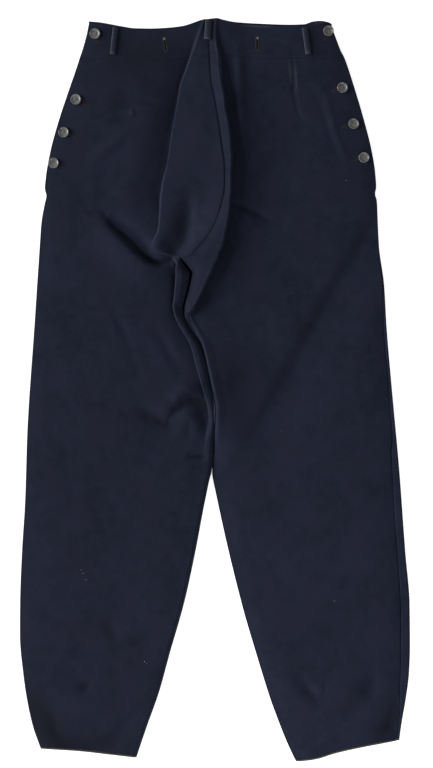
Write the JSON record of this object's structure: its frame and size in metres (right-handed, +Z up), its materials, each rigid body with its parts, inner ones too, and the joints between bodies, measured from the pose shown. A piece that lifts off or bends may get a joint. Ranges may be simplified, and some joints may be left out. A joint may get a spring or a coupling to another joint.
{
  "type": "ski trousers",
  "caption": "Dark navy wool ski trousers laid flat, with a wide waistband, buttoned side openings, belt loops and legs that taper to the hems.",
  "frame": {"origin": "middle of the bounding box, on the table that the trousers lie on", "axes": "+X to the right across the waist as seen from above, +Y from the hems to the waist, +Z up from the table through the back to the front"},
  "size_m": [0.573, 1.0912, 0.0206],
  "materials": {
    "trouser_cloth": "matte wool twill",
    "hem_tape": "matte woven tape",
    "button": "dull gloss, like horn"
  },
  "bodies": {
    "root": {"leg_front_left": "trouser_cloth", "leg_front_right": "trouser_cloth", "leg_back_left": "trouser_cloth", "leg_back_right": "trouser_cloth", "waistband_front_left": "trouser_cloth", "waistband_front_right": "trouser_cloth", "waistband_back": "trouser_cloth", "belt_loop_left": "trouser_cloth", "belt_loop_centre": "trouser_cloth", "belt_loop_right": "trouser_cloth", "hem_tape_front_left": "hem_tape", "hem_tape_front_right": "hem_tape", "hem_tape_back_left": "hem_tape", "hem_tape_back_right": "hem_tape", "button_left_1": "button", "button_left_2": "button", "button_left_3": "button", "button_left_4": "button", "button_right_1": "button", "button_right_2": "button", "button_right_3": "button", "button_right_4": "button"}
  },
  "joints": []
}
